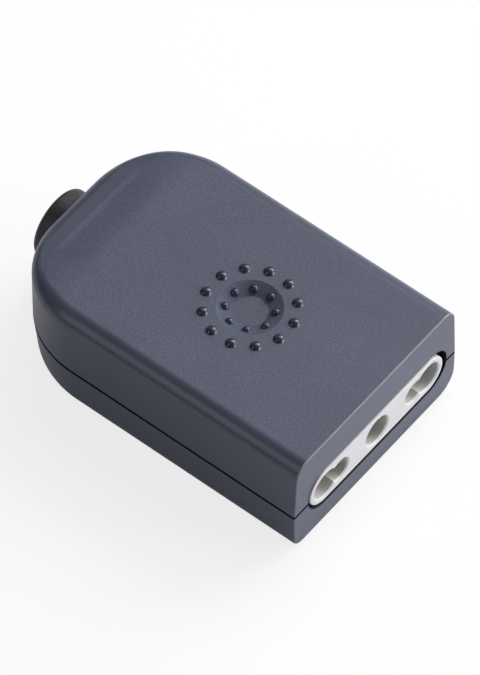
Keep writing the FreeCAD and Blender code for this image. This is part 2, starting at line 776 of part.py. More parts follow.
def build():
    """All pieces by name."""
    terminals = [(x, terminal_middle) for x in (-line_center, 0, line_center)]
    clamp_places = [(-clamp_screw_x, clamp_depth), (clamp_screw_x, clamp_depth)]
    housing_places = [(-housing_screw_x, housing_screw_depth), (housing_screw_x, housing_screw_depth)]
    return {
        "upper_shell": upper_shell(),
        "lower_shell": lower_shell(),
        "socket_insert": socket_insert(),
        "contact_carrier": contact_carrier(),
        "safety_shutter": safety_shutter(),
        "shutter_springs": shutter_springs(),
        "line_contact": contact(-line_center, line_strip_width),
        "neutral_contact": contact(line_center, line_strip_width),
        "earth_contact": contact(0, earth_strip_width),
        "line_terminal": terminal(-line_center),
        "neutral_terminal": terminal(line_center),
        "earth_terminal": terminal(0),
        "terminal_screws": screw_group(terminals, terminal_head + terminal_screw_open,
                                       terminal_screw_length, True),
        "cord_bushing": cord_bushing(),
        "cord_clamp": cord_clamp(),
        "clamp_screws": screw_group(clamp_places, clamp_seat + clamp_bar_height, clamp_screw_length, True),
        "housing_screws": screw_group(housing_places, head_recess_depth, housing_screw_length, False),
    }


os.makedirs("parts", exist_ok=True)
for name, shape in build().items():
    shape.exportStep("parts/" + name + ".step")
    print(name, len(shape.Solids), shape.isValid(), round(shape.Volume, 2))
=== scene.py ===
import bpy
import json
import math
from mathutils import Matrix, Vector


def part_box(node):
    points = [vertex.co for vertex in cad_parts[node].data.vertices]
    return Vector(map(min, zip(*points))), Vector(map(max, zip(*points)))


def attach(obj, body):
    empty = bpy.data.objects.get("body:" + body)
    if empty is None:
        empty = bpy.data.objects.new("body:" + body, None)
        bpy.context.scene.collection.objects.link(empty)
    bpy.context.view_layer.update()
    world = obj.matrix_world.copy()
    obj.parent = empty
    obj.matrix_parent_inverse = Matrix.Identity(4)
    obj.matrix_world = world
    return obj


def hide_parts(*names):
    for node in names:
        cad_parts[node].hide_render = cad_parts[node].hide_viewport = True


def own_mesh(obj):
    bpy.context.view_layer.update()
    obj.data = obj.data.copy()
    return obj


# Looks of an in-line mains socket: finishes, springs, screws, floor, light and camera.
# Sizes are in millimetres here and become metres through MM, in the frame of the CAD pieces.

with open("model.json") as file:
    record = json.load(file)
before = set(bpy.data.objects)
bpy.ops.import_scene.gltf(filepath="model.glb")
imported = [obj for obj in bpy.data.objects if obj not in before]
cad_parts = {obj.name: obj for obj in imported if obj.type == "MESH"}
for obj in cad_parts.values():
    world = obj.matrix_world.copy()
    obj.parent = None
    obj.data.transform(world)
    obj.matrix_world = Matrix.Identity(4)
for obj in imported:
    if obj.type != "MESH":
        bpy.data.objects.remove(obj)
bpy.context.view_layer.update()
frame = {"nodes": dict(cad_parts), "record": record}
nodes = frame["nodes"]
MM = 0.001

# Camera, at the photograph's angle
IMAGE_HEIGHT_PX = 675
FOCAL_LENGTH_PX = 6917.75
CAMERA_AZIMUTH_DEG = -51.4885
CAMERA_ELEVATION_DEG = 54.6421
CAMERA_ROLL_DEG = 0.124
CAMERA_TARGET = (0.43, -4.71, 10.0)
CAMERA_DISTANCE = 1095.75
SENSOR_HEIGHT = 24.0
CLIP_END_M = 10.0

# Studio: the point that the lamps face, then the direction to each lamp, its distance, width, height and
# power in watts
LAMP_TARGET = (0.0, 0.0, 10.0)
STUDIO = {
    "side_softbox": ((0.85, -0.15, 0.50), 1400, 1050, 1010, 17.6),
    "top_softbox": ((0.50, 0.17, 0.85), 900, 480, 480, 1.4),
    "front_softbox": ((0.40, -0.88, 0.16), 900, 900, 200, 4.0),
    "edge_strip": ((0.45, -0.80, 0.40), 900, 140, 800, 1.0),
    "rear_strip": ((0.45, 0.72, 0.53), 900, 500, 45, 0.26),
    "left_fill": ((-0.76, 0.36, 0.54), 900, 300, 600, 0.9),
}
WORLD_STRENGTH = 0.06

# Floor: its drop keeps it a hair below the part, and its lifts are the light it adds to the camera's view
# and to reflections
FLOOR_SIZE = 4000
FLOOR_DROP = 0.02
FLOOR_LIFT = 0.79
FLOOR_LIFT_IN_REFLECTIONS = 0.16

# Top face: dish, rings of dots as count, radius of the ring and radius of a dot, then the level and the front
# edge. Masks of the dish and the dots are full at a share of the radius, and those of edges after a length
DISH_CENTER = (0.0, -7.1)
DISH_RADIUS = 5.35
DISH_FADE = 0.98
DOT_RINGS = ((12, 7.55, 0.975), (8, 4.025, 0.75))
DOT_START_DEG = -15.0
DOT_FADE = 0.9
TOP_LEVEL = 18.0
FRONT_EDGE = -32.0
EDGE_FADE = 0.1

# Field of the grain on the top, with rounded rear corners
GRAIN_HALF_WIDTH = 17.4
GRAIN_END = 24.9
GRAIN_CORNER = 8.5
GRAIN_FADE = 0.5

# Ripples across the rear of the top: start and end of each step along the part, and how far it rises there
REAR_STEPS = ((18.0, 24.0, -0.3), (23.0, 25.0, 0.24), (26.7, 28.2, -0.2))
RIPPLE_HALF_LENGTH = 12.0
RIPPLE_FADE = 4.0

# Opening of the case round the insert: middle and half sizes of the hollow just behind the face, the half
# length and end radius of its mouth, and how far down the face the painted shade under it reaches
RECESS_CENTER = (0.59, -30.26, 9.31)
RECESS_HALF = (19.2, 2.0, 4.65)
MOUTH_HALF_LENGTH = 17.71
MOUTH_RADIUS = 4.46
LIP_SHADE = 0.45

# Nose of the insert: height of its middle, half length and end radius, and where the painted shade behind
# its face, down its holes, begins and is full
NOSE_HEIGHT = 9.7
NOSE_HALF_LENGTH = 16.9
NOSE_RADIUS = 3.85
NOSE_MARGIN = 0.05
DEPTH_SHADE_START = -32.0
DEPTH_SHADE_FULL = -30.4

# Seam between the shells: height, half its gap, and how far in its painted shade reaches from the sides
# and the front
SEAM_HEIGHT = 8.5
SEAM_HALF_GAP = 0.29
SEAM_SHADE_SIDES = 9.2
SEAM_SHADE_FRONT = -29.0

# Springs behind the shutter
SPRING_WIRE = 0.3
SPRING_TURNS = 7.0
SPRING_DEAD_TURNS = 1.0
SPRING_STEPS_PER_TURN = 28
SPRING_SIDES = 10
SPRING_SHARP_DEG = 50

# Screws: metric thread of three millimetres with a slotted cheese head
SHANK_RADIUS = 1.5
HEAD_RADIUS = 2.7
HEAD_HEIGHT = 1.7
HEAD_CHAMFER = 0.1
HEAD_RIM = 0.55
HEAD_RIM_STEPS = 6
HEAD_STEPS = 40
SLOT_WIDTH = 0.8
SLOT_DEPTH = 0.8
THREAD_PITCH = 0.5
THREAD_DEPTH = 0.3
THREAD_STEPS_PER_TURN = 24
THREAD_ROWS_PER_PITCH = 6
THREAD_POINT = 0.5
SCREW_SHARP_DEG = 35


def linear(code):
    """Linear colour of an sRGB hex code."""
    values = [int(code[place:place + 2], 16) / 255 for place in (1, 3, 5)]
    return [v / 12.92 if v <= 0.04045 else ((v + 0.055) / 1.055) ** 2.4 for v in values] + [1.0]


def per_metre(size):
    """Texture scale whose pattern repeats about once in a size in millimetres."""
    return 1.0 / (size * MM)


def add(tree, kind, inputs=None, ramp=(), **settings):
    """Add one node: settings are its options, inputs are values or sockets to link, ramp is its colours."""
    node = tree.nodes.new("ShaderNode" + kind)
    for name, value in settings.items():
        setattr(node, name, value)
    for name, value in (inputs or {}).items():
        if isinstance(value, bpy.types.NodeSocket):
            tree.links.new(value, node.inputs[name])
        else:
            node.inputs[name].default_value = value
    for index, (position, code) in enumerate(ramp):
        node.color_ramp.elements[index].position = position
        node.color_ramp.elements[index].color = linear(code)
    return node


def new_material(name, **constants):
    """Material with an empty tree but for its shader, whose constant sockets are set by name."""
    material = bpy.data.materials.new(name)
    material.use_nodes = True
    tree = material.node_tree
    tree.nodes.clear()
    shader = add(tree, "BsdfPrincipled", {key.replace("_", " "): value for key, value in constants.items()})
    add(tree, "OutputMaterial", {"Surface": shader.outputs["BSDF"]})
    return material, tree, shader


def connect(tree, shader, **sockets):
    """Link sockets to the shader's inputs by name."""
    for name, socket in sockets.items():
        tree.links.new(socket, shader.inputs[name.replace("_", " ")])


def flat_distance(tree, first, second):
    """Length of a step in one plane, from its two parts at right angles."""
    step = add(tree, "CombineXYZ", {"X": first, "Y": second}).outputs["Vector"]
    return add(tree, "VectorMath", {0: step}, operation="LENGTH").outputs["Value"]


def beyond(tree, value, limit):
    """How far a value is past a limit in millimetres, and 0 before it."""
    past = add(tree, "Math", {0: value, 1: limit * MM}, operation="SUBTRACT").outputs[0]
    return add(tree, "Math", {0: past, 1: 0.0}, operation="MAXIMUM").outputs[0]


def field_reach(tree, place):
    """Distance out from the middle of the case, the same all along the rounded edge of the grain's field."""
    across = add(tree, "Math", {0: place["X"]}, operation="ABSOLUTE").outputs[0]
    side = beyond(tree, across, GRAIN_HALF_WIDTH - GRAIN_CORNER)
    rear = beyond(tree, place["Y"], GRAIN_END - GRAIN_CORNER)
    return flat_distance(tree, side, rear)


def slot_reach(tree, place, middle_x, middle_z, half_straight):
    """Distance from the middle line of a slot with round ends, seen from the front."""
    offset = add(tree, "Math", {0: place["X"], 1: middle_x * MM}, operation="SUBTRACT").outputs[0]
    across = add(tree, "Math", {0: offset}, operation="ABSOLUTE").outputs[0]
    height = add(tree, "Math", {0: place["Z"], 1: middle_z * MM}, operation="SUBTRACT").outputs[0]
    return flat_distance(tree, beyond(tree, across, half_straight), height)


def dish_masks(tree, place):
    """Two masks of the top face from its own sizes: the raised dots, and the dish within its rim."""
    east = add(tree, "Math", {0: place["X"], 1: DISH_CENTER[0] * MM}, operation="SUBTRACT").outputs[0]
    north = add(tree, "Math", {0: place["Y"], 1: DISH_CENTER[1] * MM}, operation="SUBTRACT").outputs[0]
    reach = flat_distance(tree, east, north)
    angle = add(tree, "Math", {0: north, 1: east}, operation="ARCTAN2").outputs[0]
    turn = add(tree, "Math", {0: angle, 1: math.radians(DOT_START_DEG)}, operation="SUBTRACT").outputs[0]
    upper = add(tree, "Math", {0: place["Z"], 1: TOP_LEVEL * MM}, operation="GREATER_THAN").outputs[0]
    rings = []
    for count, ring, radius in DOT_RINGS:
        half_step = math.pi / count
        wrapped = add(tree, "Math", {0: turn, 1: half_step, 2: -half_step}, operation="WRAP").outputs[0]
        across = add(tree, "Math", {0: wrapped, 1: ring * MM}, operation="MULTIPLY").outputs[0]
        along = add(tree, "Math", {0: reach, 1: ring * MM}, operation="SUBTRACT").outputs[0]
        distance = flat_distance(tree, across, along)
        rings.append(add(tree, "MapRange", {"Value": distance, "From Min": radius * MM,
                                            "From Max": DOT_FADE * radius * MM}).outputs["Result"])
    dots = add(tree, "Math", {0: rings[0], 1: rings[1]}, operation="MAXIMUM").outputs[0]
    within = add(tree, "MapRange", {"Value": reach, "From Min": DISH_RADIUS * MM,
                                    "From Max": DISH_FADE * DISH_RADIUS * MM}).outputs["Result"]
    return [add(tree, "Math", {0: mask, 1: upper}, operation="MULTIPLY").outputs[0]
            for mask in (dots, within)]


def grain_masks(tree, place, upward, reach):
    """Three masks of the case: the grain, the polished dots and the sloping wall of the dish."""
    polished, dish = dish_masks(tree, place)
    inside = add(tree, "MapRange", {"Value": reach, "From Min": GRAIN_CORNER * MM,
                                    "From Max": (GRAIN_CORNER - GRAIN_FADE) * MM}).outputs["Result"]
    # The grain stops where the surface turns down
    level = add(tree, "MapRange", {"Value": upward, "From Min": 0.90, "From Max": 0.94}).outputs["Result"]
    field = add(tree, "Math", {0: level, 1: inside}, operation="MINIMUM").outputs[0]
    covered = add(tree, "Math", {0: field, 1: dish}, operation="MAXIMUM").outputs[0]
    grained = add(tree, "Math", {0: covered, 1: polished}, operation="SUBTRACT", use_clamp=True).outputs[0]
    sloping = add(tree, "MapRange", {"Value": upward, "From Min": 0.98, "From Max": 0.92}).outputs["Result"]
    slope = add(tree, "Math", {0: dish, 1: sloping}, operation="MULTIPLY").outputs[0]
    wall = add(tree, "Math", {0: slope, 1: polished}, operation="SUBTRACT", use_clamp=True).outputs[0]
    return grained, polished, wall


def edge_highlight_mask(tree, place, facing):
    """1 on the front edge of the top, where a pale line is painted as a highlight, and 0 elsewhere."""
    forward = add(tree, "MapRange", {"Value": place["Y"], "From Min": FRONT_EDGE * MM,
                                     "From Max": (FRONT_EDGE - EDGE_FADE) * MM}).outputs["Result"]
    raised = add(tree, "MapRange", {"Value": facing["Z"], "From Min": 0.3, "From Max": 0.5}).outputs["Result"]
    upper = add(tree, "Math", {0: place["Z"], 1: TOP_LEVEL * MM}, operation="GREATER_THAN").outputs[0]
    edge = add(tree, "Math", {0: forward, 1: raised}, operation="MULTIPLY").outputs[0]
    return add(tree, "Math", {0: edge, 1: upper}, operation="MULTIPLY").outputs[0]


def recess_mask(tree, coords):
    """1 in the hollow behind the opening round the insert, and 0 elsewhere."""
    middle = tuple(value * MM for value in RECESS_CENTER)
    half = tuple(value * MM for value in RECESS_HALF)
    offset = add(tree, "VectorMath", {0: coords, 1: middle}, operation="SUBTRACT").outputs["Vector"]
    size = add(tree, "VectorMath", {0: offset}, operation="ABSOLUTE").outputs["Vector"]
    share = add(tree, "VectorMath", {0: size, 1: half}, operation="DIVIDE").outputs["Vector"]
    parts = add(tree, "SeparateXYZ", {"Vector": share}).outputs
    level = add(tree, "Math", {0: parts["X"], 1: parts["Z"]}, operation="MAXIMUM").outputs[0]
    largest = add(tree, "Math", {0: level, 1: parts["Y"]}, operation="MAXIMUM").outputs[0]
    return add(tree, "Math", {0: largest, 1: 1.0}, operation="LESS_THAN").outputs[0]


def lip_mask(tree, place):
    """1 on the front face just under the opening, where painted shade darkens its lower lip, and 0 elsewhere.
    """
    reach = slot_reach(tree, place, RECESS_CENTER[0], RECESS_CENTER[2] - LIP_SHADE,
                       MOUTH_HALF_LENGTH - MOUTH_RADIUS)
    near = add(tree, "MapRange", {"Value": reach, "From Min": MOUTH_RADIUS * MM,
                                  "From Max": (MOUTH_RADIUS - EDGE_FADE) * MM}).outputs["Result"]
    front = add(tree, "Math", {0: place["Y"], 1: FRONT_EDGE * MM}, operation="LESS_THAN").outputs[0]
    return add(tree, "Math", {0: near, 1: front}, operation="MULTIPLY").outputs[0]


def gap_shade_mask(tree, coords, place, reach):
    """1 where shade is painted nearly black: in the gap round the insert, under its lip and in the seam."""
    level = add(tree, "Math", {0: place["Z"], 1: SEAM_HEIGHT * MM, 2: SEAM_HALF_GAP * MM},
                operation="COMPARE").outputs[0]
    sides = add(tree, "Math", {0: reach, 1: SEAM_SHADE_SIDES * MM}, operation="GREATER_THAN").outputs[0]
    front = add(tree, "Math", {0: place["Y"], 1: SEAM_SHADE_FRONT * MM}, operation="LESS_THAN").outputs[0]
    outer = add(tree, "Math", {0: sides, 1: front}, operation="MAXIMUM").outputs[0]
    seam = add(tree, "Math", {0: level, 1: outer}, operation="MULTIPLY").outputs[0]
    gap = add(tree, "Math", {0: recess_mask(tree, coords), 1: lip_mask(tree, place)},
              operation="MAXIMUM").outputs[0]
    return add(tree, "Math", {0: gap, 1: seam}, operation="MAXIMUM").outputs[0]


def rear_ripples(tree, place, facing):
    """Normal with the faint dip, crest and rolled edge where the plastic sank along the rear of the top."""
    height = 0.0
    for start, end, rise in REAR_STEPS:
        step = add(tree, "MapRange", {"Value": place["Y"], "From Min": start * MM, "From Max": end * MM,
                                      "To Max": rise}, interpolation_type="SMOOTHSTEP").outputs["Result"]
        height = add(tree, "Math", {0: step, 1: height}).outputs[0]
    across = add(tree, "Math", {0: place["X"]}, operation="ABSOLUTE").outputs[0]
    middle = add(tree, "MapRange", {"Value": across, "From Min": RIPPLE_HALF_LENGTH * MM,
                                    "From Max": (RIPPLE_HALF_LENGTH - RIPPLE_FADE) * MM},
                 interpolation_type="SMOOTHSTEP").outputs["Result"]
    above = add(tree, "Math", {0: facing["Z"], 1: 0.5}, operation="GREATER_THAN").outputs[0]
    shown = add(tree, "Math", {0: middle, 1: above}, operation="MULTIPLY").outputs[0]
    return add(tree, "Bump", {"Height": height, "Strength": shown, "Distance": 1.0 * MM}).outputs["Normal"]


def case_abs():
    """Moulded ABS: spark-eroded grain on the flat top and bottom, satin sides, dots polished in the tool."""
    material, tree, shader = new_material("case_abs_spark_eroded", IOR=1.53)
    coords = add(tree, "TexCoord").outputs["Object"]
    place = add(tree, "SeparateXYZ", {"Vector": coords}).outputs
    facing = add(tree, "SeparateXYZ", {"Vector": add(tree, "NewGeometry").outputs["Normal"]}).outputs
    upward = add(tree, "Math", {0: facing["Z"]}, operation="ABSOLUTE").outputs[0]
    reach = field_reach(tree, place)
    grained, polished, wall = grain_masks(tree, place, upward, reach)
    # Painted shade: nearly black in the gap round the insert, under its lip and in the seam
    gap_shade = gap_shade_mask(tree, coords, place, reach)
    # Erosion pits are about 0.1 mm; drawn at 0.34 mm so that they show at this distance
    pits = add(tree, "TexNoise", {"Vector": coords, "Scale": per_metre(0.34), "Detail": 3.0,
                                  "Roughness": 0.6}).outputs["Fac"]
    speck = add(tree, "MapRange", {"Value": pits, "From Min": 0.25, "From Max": 0.75,
                                   "To Min": 0.72, "To Max": 1.28}).outputs["Result"]
    # Slow change of shade where the melt ran, about 14 mm across
    flow = add(tree, "TexNoise", {"Vector": coords, "Scale": per_metre(14.0), "Detail": 2.0}).outputs["Fac"]
    shade = add(tree, "ValToRGB", {"Fac": flow}, ramp=((0.3, "#52586c"), (0.72, "#575d72"))).outputs["Color"]
    # Without the grain's haze the same plastic looks deeper, and painted shade in the gaps makes it nearly
    # black
    plain = add(tree, "Mix", {"Factor": polished, "A": 0.92, "B": 0.45}, data_type="FLOAT").outputs["Result"]
    clean = add(tree, "Mix", {"Factor": grained, "A": plain, "B": speck}, data_type="FLOAT").outputs["Result"]
    tint = add(tree, "Mix", {"Factor": gap_shade, "A": clean, "B": 0.05}, data_type="FLOAT").outputs["Result"]
    tinted = add(tree, "VectorMath", {0: shade, "Scale": tint}, operation="SCALE").outputs["Vector"]
    # A highlight painted pale grey along the front edge of the top; sockets 6 and 7 of a mix are its two
    # colours, and output 2 is their mix
    color = add(tree, "Mix", {"Factor": edge_highlight_mask(tree, place, facing), 6: tinted, 7: linear("#86888e")},
                data_type="RGBA").outputs[2]
    # Satin sides and glossy dots; the grain is hazy, the wall of the dish duller and the painted shade dull
    # throughout
    rough = add(tree, "Mix", {"Factor": polished, "A": 0.32, "B": 0.13}, data_type="FLOAT").outputs["Result"]
    for mask, value in ((grained, 0.42), (wall, 0.85), (gap_shade, 1.0)):
        rough = add(tree, "Mix", {"Factor": mask, "A": rough, "B": value},
                    data_type="FLOAT").outputs["Result"]
    relief = add(tree, "Mix", {"Factor": grained, "A": 0.02, "B": 0.75}, data_type="FLOAT").outputs["Result"]
    bump = add(tree, "Bump", {"Height": pits, "Strength": relief, "Distance": 0.05 * MM,
                              "Normal": rear_ripples(tree, place, facing)})
    connect(tree, shader, Base_Color=color, Roughness=rough, Normal=bump.outputs["Normal"])
    return material


def insert_thermoset():
    """Pressed white urea: dense, hard and slightly glossy, with painted shade a little darker and warmer
    behind its face.
    """
    material, tree, shader = new_material("insert_urea_moulded", IOR=1.55, Roughness=0.36,
                                          Subsurface_Weight=0.05, Subsurface_Scale=0.6 * MM)
    coords = add(tree, "TexCoord").outputs["Object"]
    place = add(tree, "SeparateXYZ", {"Vector": coords}).outputs
    # Faint clouds of the pressed powder, 5 mm across
    cloud = add(tree, "TexNoise", {"Vector": coords, "Scale": per_metre(5.0), "Detail": 3.0}).outputs["Fac"]
    shade = add(tree, "ValToRGB", {"Fac": cloud}, ramp=((0.3, "#dedddf"), (0.7, "#e5e4e5"))).outputs["Color"]
    # Painted shade, a little darker and warmer behind the face and down the holes; sockets 6 and 7 of a mix
    # are its two colours, and output 2 is their mix
    depth_shade = add(tree, "MapRange", {"Value": place["Y"], "From Min": DEPTH_SHADE_START * MM,
                                   "From Max": DEPTH_SHADE_FULL * MM}).outputs["Result"]
    shaded_color = add(tree, "Mix", {"Factor": depth_shade, 6: shade, 7: linear("#cfccc6")}, data_type="RGBA").outputs[2]
    # Painted shade, nearly black, on the plate behind the gap round the nose
    reach = slot_reach(tree, place, 0.0, NOSE_HEIGHT, NOSE_HALF_LENGTH - NOSE_RADIUS)
    around = add(tree, "Math", {0: reach, 1: (NOSE_RADIUS + NOSE_MARGIN) * MM},
                 operation="GREATER_THAN").outputs[0]
    gap_shade = add(tree, "Math", {0: recess_mask(tree, coords), 1: around}, operation="MULTIPLY").outputs[0]
    color = add(tree, "Mix", {"Factor": gap_shade, 6: shaded_color, 7: linear("#2b2a28")}, data_type="RGBA").outputs[2]
    # Polished tool with faint orange peel, 0.6 mm across
    peel = add(tree, "TexNoise", {"Vector": coords, "Scale": per_metre(0.6), "Detail": 1.0}).outputs["Fac"]
    bump = add(tree, "Bump", {"Height": peel, "Strength": 0.05, "Distance": 0.02 * MM})
    connect(tree, shader, Base_Color=color, Normal=bump.outputs["Normal"])
    return material


def shutter_acetal():
    """Moulded acetal: waxy off-white slider with faint flow clouds."""
    material, tree, shader = new_material("shutter_acetal_moulded", IOR=1.48, Roughness=0.42,
                                          Subsurface_Weight=0.1, Subsurface_Scale=0.5 * MM)
    coords = add(tree, "TexCoord").outputs["Object"]
    cloud = add(tree, "TexNoise", {"Vector": coords, "Scale": per_metre(3.0), "Detail": 2.0}).outputs["Fac"]
    shade = add(tree, "ValToRGB", {"Fac": cloud}, ramp=((0.0, "#c9c8c2"), (1.0, "#d6d5d0"))).outputs["Color"]
    bump = add(tree, "Bump", {"Height": cloud, "Strength": 0.04, "Distance": 0.03 * MM})
    connect(tree, shader, Base_Color=shade, Normal=bump.outputs["Normal"])
    return material


def bushing_pvc():
    """Soft black vinyl, moulded: satin, with a fine pebble that softens the highlights."""
    material, tree, shader = new_material("bushing_pvc_moulded", IOR=1.53)
    coords = add(tree, "TexCoord").outputs["Object"]
    pebble = add(tree, "TexNoise", {"Vector": coords, "Scale": per_metre(0.45), "Detail": 2.0}).outputs["Fac"]
    shade = add(tree, "ValToRGB", {"Fac": pebble}, ramp=((0.0, "#26262b"), (1.0, "#34343b"))).outputs["Color"]
    rough = add(tree, "MapRange", {"Value": pebble, "To Min": 0.42, "To Max": 0.58}).outputs["Result"]
    bump = add(tree, "Bump", {"Height": pebble, "Strength": 0.14, "Distance": 0.05 * MM})
    connect(tree, shader, Base_Color=shade, Roughness=rough, Normal=bump.outputs["Normal"])
    return material


def clamp_nylon():
    """Black nylon, moulded: dark and slightly glossy with faint flow lines along the bar."""
    material, tree, shader = new_material("clamp_nylon_moulded", IOR=1.53, Roughness=0.45)
    coords = add(tree, "TexCoord").outputs["Object"]
    stretched = add(tree, "Mapping", {"Vector": coords, "Scale": (0.2, 1.0, 1.0)}).outputs["Vector"]
    lines = add(tree, "TexNoise", {"Vector": stretched, "Scale": per_metre(0.8),
                                   "Detail": 2.0}).outputs["Fac"]
    shade = add(tree, "ValToRGB", {"Fac": lines}, ramp=((0.0, "#2a2a2d"), (1.0, "#37373b"))).outputs["Color"]
    bump = add(tree, "Bump", {"Height": lines, "Strength": 0.08, "Distance": 0.05 * MM})
    connect(tree, shader, Base_Color=shade, Normal=bump.outputs["Normal"])
    return material


def contact_brass():
    """Rolled brass: bright yellow metal with fine roll lines along the strip."""
    material, tree, shader = new_material("contact_brass_rolled", Metallic=1.0)
    coords = add(tree, "TexCoord").outputs["Object"]
    stretched = add(tree, "Mapping", {"Vector": coords, "Scale": (1.0, 0.05, 1.0)}).outputs["Vector"]
    lines = add(tree, "TexNoise", {"Vector": stretched, "Scale": per_metre(0.15),
                                   "Detail": 2.0}).outputs["Fac"]
    stain = add(tree, "TexNoise", {"Vector": coords, "Scale": per_metre(4.0), "Detail": 3.0}).outputs["Fac"]
    shade = add(tree, "ValToRGB", {"Fac": stain}, ramp=((0.0, "#b8924e"), (1.0, "#d6b46c"))).outputs["Color"]
    rough = add(tree, "MapRange", {"Value": lines, "To Min": 0.2, "To Max": 0.38}).outputs["Result"]
    bump = add(tree, "Bump", {"Height": lines, "Strength": 0.08, "Distance": 0.02 * MM})
    connect(tree, shader, Base_Color=shade, Roughness=rough, Normal=bump.outputs["Normal"])
    return material


def plated_steel():
    """Zinc-plated steel: pale grey metal with a faint spangle and duller hollows."""
    material, tree, shader = new_material("screw_steel_zinc_plated", Metallic=1.0)
    coords = add(tree, "TexCoord").outputs["Object"]
    spangle = add(tree, "TexVoronoi", {"Vector": coords, "Scale": per_metre(0.5)}).outputs["Distance"]
    shade = add(tree, "ValToRGB", {"Fac": spangle},
                ramp=((0.0, "#b9bbbd"), (1.0, "#d2d4d4"))).outputs["Color"]
    rough = add(tree, "MapRange", {"Value": spangle, "To Min": 0.26, "To Max": 0.42}).outputs["Result"]
    bump = add(tree, "Bump", {"Height": spangle, "Strength": 0.06, "Distance": 0.02 * MM})
    connect(tree, shader, Base_Color=shade, Roughness=rough, Normal=bump.outputs["Normal"])
    return material


def spring_wire_steel():
    """Hard-drawn spring wire: grey metal with draw lines round the coil."""
    material, tree, shader = new_material("spring_steel_drawn", Metallic=1.0)
    coords = add(tree, "TexCoord").outputs["Object"]
    stretched = add(tree, "Mapping", {"Vector": coords, "Scale": (0.2, 0.2, 1.0)}).outputs["Vector"]
    lines = add(tree, "TexNoise", {"Vector": stretched, "Scale": per_metre(0.08),
                                   "Detail": 1.0}).outputs["Fac"]
    shade = add(tree, "ValToRGB", {"Fac": lines}, ramp=((0.0, "#8f9194"), (1.0, "#b4b6b8"))).outputs["Color"]
    rough = add(tree, "MapRange", {"Value": lines, "To Min": 0.24, "To Max": 0.36}).outputs["Result"]
    bump = add(tree, "Bump", {"Height": lines, "Strength": 0.06, "Distance": 0.01 * MM})
    connect(tree, shader, Base_Color=shade, Roughness=rough, Normal=bump.outputs["Normal"])
    return material


FINISHES = {
    "case_plastic": case_abs(),
    "insert_plastic": insert_thermoset(),
    "shutter_plastic": shutter_acetal(),
    "bushing_rubber": bushing_pvc(),
    "clamp_plastic": clamp_nylon(),
    "contact_brass": contact_brass(),
    "screw_steel": plated_steel(),
    "spring_steel": spring_wire_steel(),
}


def dress(obj, slot_name):
    """Give an object the finish of a material slot, and nothing else."""
    obj.data.materials.clear()
    obj.data.materials.append(FINISHES[slot_name])


def mesh_piece(name, mesh, slot_name, body):
    """New object from a mesh, with its finish, on a body of the part."""
    piece = bpy.data.objects.new(name, mesh)
    bpy.context.collection.objects.link(piece)
    dress(piece, slot_name)
    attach(piece, body)
    return piece


for subpart in frame["record"]["subparts"]:
    dress(nodes[subpart["node"]], subpart["material_slot"])


class Skin:
    """Mesh gathered from closed forms, each one a run of loops with the same number of points."""

    def __init__(self):
        self.points = []
        self.faces = []

    def cover(self, loops):
        """Add the form that passes through the loops, with a cap at both ends."""
        size = len(loops[0])
        first = len(self.points)
        for loop in loops:
            self.points.extend([value * MM for value in point] for point in loop)
        rows = [[first + row * size + step for step in range(size)] for row in range(len(loops))]
        for low, high in zip(rows, rows[1:]):
            for step in range(size):
                after = (step + 1) % size
                self.faces.append((low[step], low[after], high[after], high[step]))
        self.faces.append(rows[0][::-1])
        self.faces.append(rows[-1])

    def mesh(self, name, sharp_deg):
        """Mesh with smooth shading below an angle between faces."""
        mesh = bpy.data.meshes.new(name)
        mesh.from_pydata(self.points, [], self.faces)
        mesh.shade_smooth()
        mesh.set_sharp_from_angle(angle=math.radians(sharp_deg))
        return mesh


def box_mm(node):
    """Lowest and highest corner of a CAD node, in millimetres."""
    return [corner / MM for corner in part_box(node)]


def coil_springs():
    """Two coil springs with closed ends, from the seats of the shutter to the roof above it."""
    low, high = box_mm("shutter_springs")
    outer = (high.y - low.y) / 2
    mean = outer - SPRING_WIRE / 2
    skin = Skin()
    bottom = low.z + SPRING_WIRE / 2
    top = high.z - SPRING_WIRE / 2
    steps = round(SPRING_TURNS * SPRING_STEPS_PER_TURN)
    active = SPRING_TURNS - 2 * SPRING_DEAD_TURNS
    active_rise = top - bottom - 2 * SPRING_DEAD_TURNS * SPRING_WIRE
    for center_x in (low.x + outer, high.x - outer):
        loops = []
        for step in range(steps + 1):
            turns = step / SPRING_STEPS_PER_TURN
            closed = min(turns, SPRING_DEAD_TURNS) + max(0, turns - SPRING_TURNS + SPRING_DEAD_TURNS)
            height = bottom + closed * SPRING_WIRE + (turns - closed) / active * active_rise
            out = Vector((math.cos(turns * math.tau), math.sin(turns * math.tau), 0))
            middle = Vector((center_x, (low.y + high.y) / 2, height)) + out * mean
            loops.append([middle + (out * math.cos(side) - Vector((0, 0, math.sin(side)))) * SPRING_WIRE / 2
                          for side in (index * math.tau / SPRING_SIDES for index in range(SPRING_SIDES))])
        skin.cover(loops)
    piece = mesh_piece("coil_springs", skin.mesh("coil_springs", SPRING_SHARP_DEG), "spring_steel", "housing")
    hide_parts("shutter_springs")
    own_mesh(piece)


